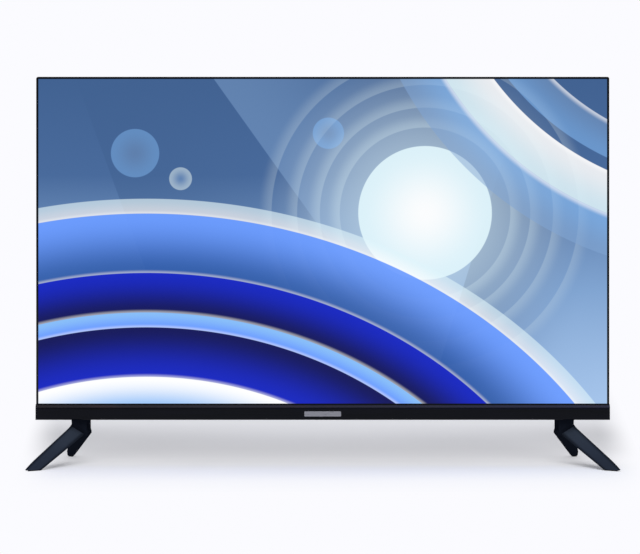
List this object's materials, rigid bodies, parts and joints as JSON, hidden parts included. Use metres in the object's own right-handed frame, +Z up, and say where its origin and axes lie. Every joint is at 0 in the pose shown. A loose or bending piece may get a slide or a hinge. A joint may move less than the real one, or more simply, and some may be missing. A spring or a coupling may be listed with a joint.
{
  "type": "flat screen tv",
  "caption": "Slim flat screen television on splayed feet, with a thin black border, a deeper chin, a stepped rear cover, side sockets and rear keys.",
  "frame": {"origin": "on the table, midway between the feet and at the middle of the feet's depth", "axes": "+X to the right as seen from the front, +Y to the back, +Z up; the picture faces -Y"},
  "size_m": [0.7174, 0.181, 0.4845],
  "materials": {
    "frame_black": "fine satin moulding",
    "chin_gloss": "brushed gloss with a sloped top strip",
    "badge_metal": "satin",
    "screen_film": "hard coat",
    "cell_glass": "polished",
    "foam_tape": "soft",
    "optical_film": "translucent",
    "reflector_white": "matte",
    "lamp_strip": "white solder mask",
    "lens_clear": "clear moulding",
    "pan_steel": "black coil coating",
    "board_green": "solder mask",
    "chip_black": "moulded",
    "flex_amber": "film",
    "sink_aluminium": "extruded",
    "socket_tin": "tin plate",
    "socket_black": "moulded",
    "jack_plastic": "coloured rings",
    "transformer_core": "ferrite and tape",
    "capacitor_sleeve": "shrink sleeve",
    "speaker_box": "moulded",
    "speaker_cone": "basket and magnet",
    "dome_steel": "satin",
    "key_black": "satin",
    "cover_black": "fine spark texture",
    "screw_black": "black zinc",
    "screw_zinc": "zinc",
    "bracket_steel": "zinc plate",
    "foot_plastic": "satin",
    "pad_rubber": "moulded",
    "lead_cover": "soft sleeve"
  },
  "bodies": {
    "set": {"middle_frame": "frame_black", "chin_cover": "chin_gloss", "badge_plate": "badge_metal", "front_polarizer": "screen_film", "lcd_cell": "cell_glass", "panel_foam": "foam_tape", "prism_sheet": "optical_film", "diffuser_film": "optical_film", "diffuser_plate": "optical_film", "reflector_sheet": "reflector_white", "led_strip_lower": "lamp_strip", "led_strip_middle": "lamp_strip", "led_strip_upper": "lamp_strip", "led_lenses": "lens_clear", "diffuser_posts": "lens_clear", "back_pan": "pan_steel", "source_board": "board_green", "receiver_board": "board_green", "main_board": "board_green", "power_board": "board_green", "wireless_module": "board_green", "key_board": "board_green", "board_chips": "chip_black", "source_flexes": "flex_amber", "panel_ribbon": "flex_amber", "heat_sink": "sink_aluminium", "power_heat_sinks": "sink_aluminium", "tuner_can": "socket_tin", "video_sockets": "socket_tin", "data_sockets": "socket_tin", "aerial_socket": "socket_tin", "network_socket": "socket_black", "mains_inlet": "socket_black", "av_jacks": "jack_plastic", "transformer": "transformer_core", "capacitors": "capacitor_sleeve", "speaker_right": "speaker_box", "speaker_left": "speaker_box", "speaker_cones": "speaker_cone", "dome_switches": "dome_steel", "rear_cover": "cover_black", "cover_screws": "screw_black", "stand_screws": "screw_black", "board_screws": "screw_zinc", "wall_mount_standoffs": "bracket_steel", "stand_brackets": "bracket_steel", "stand_foot_right": "foot_plastic", "stand_foot_left": "foot_plastic", "foot_pads": "pad_rubber", "speaker_leads": "lead_cover", "key_lead": "lead_cover", "power_lead": "lead_cover", "backlight_lead": "lead_cover"},
    "key_power_cap": {"key_power": "key_black"},
    "key_source_cap": {"key_source": "key_black"},
    "key_menu_cap": {"key_menu": "key_black"},
    "key_channel_down_cap": {"key_channel_down": "key_black"},
    "key_channel_up_cap": {"key_channel_up": "key_black"},
    "key_volume_down_cap": {"key_volume_down": "key_black"},
    "key_volume_up_cap": {"key_volume_up": "key_black"}
  },
  "joints": [
    {"name": "key_power_press", "type": "slide", "parent": "set", "child": "key_power_cap", "axis": [0, -1, 0], "range_m": [0, 0.0008], "stiffness_N_per_m": 800},
    {"name": "key_source_press", "type": "slide", "parent": "set", "child": "key_source_cap", "axis": [0, -1, 0], "range_m": [0, 0.0008], "stiffness_N_per_m": 800},
    {"name": "key_menu_press", "type": "slide", "parent": "set", "child": "key_menu_cap", "axis": [0, -1, 0], "range_m": [0, 0.0008], "stiffness_N_per_m": 800},
    {"name": "key_channel_down_press", "type": "slide", "parent": "set", "child": "key_channel_down_cap", "axis": [0, -1, 0], "range_m": [0, 0.0008], "stiffness_N_per_m": 800},
    {"name": "key_channel_up_press", "type": "slide", "parent": "set", "child": "key_channel_up_cap", "axis": [0, -1, 0], "range_m": [0, 0.0008], "stiffness_N_per_m": 800},
    {"name": "key_volume_down_press", "type": "slide", "parent": "set", "child": "key_volume_down_cap", "axis": [0, -1, 0], "range_m": [0, 0.0008], "stiffness_N_per_m": 800},
    {"name": "key_volume_up_press", "type": "slide", "parent": "set", "child": "key_volume_up_cap", "axis": [0, -1, 0], "range_m": [0, 0.0008], "stiffness_N_per_m": 800}
  ]
}
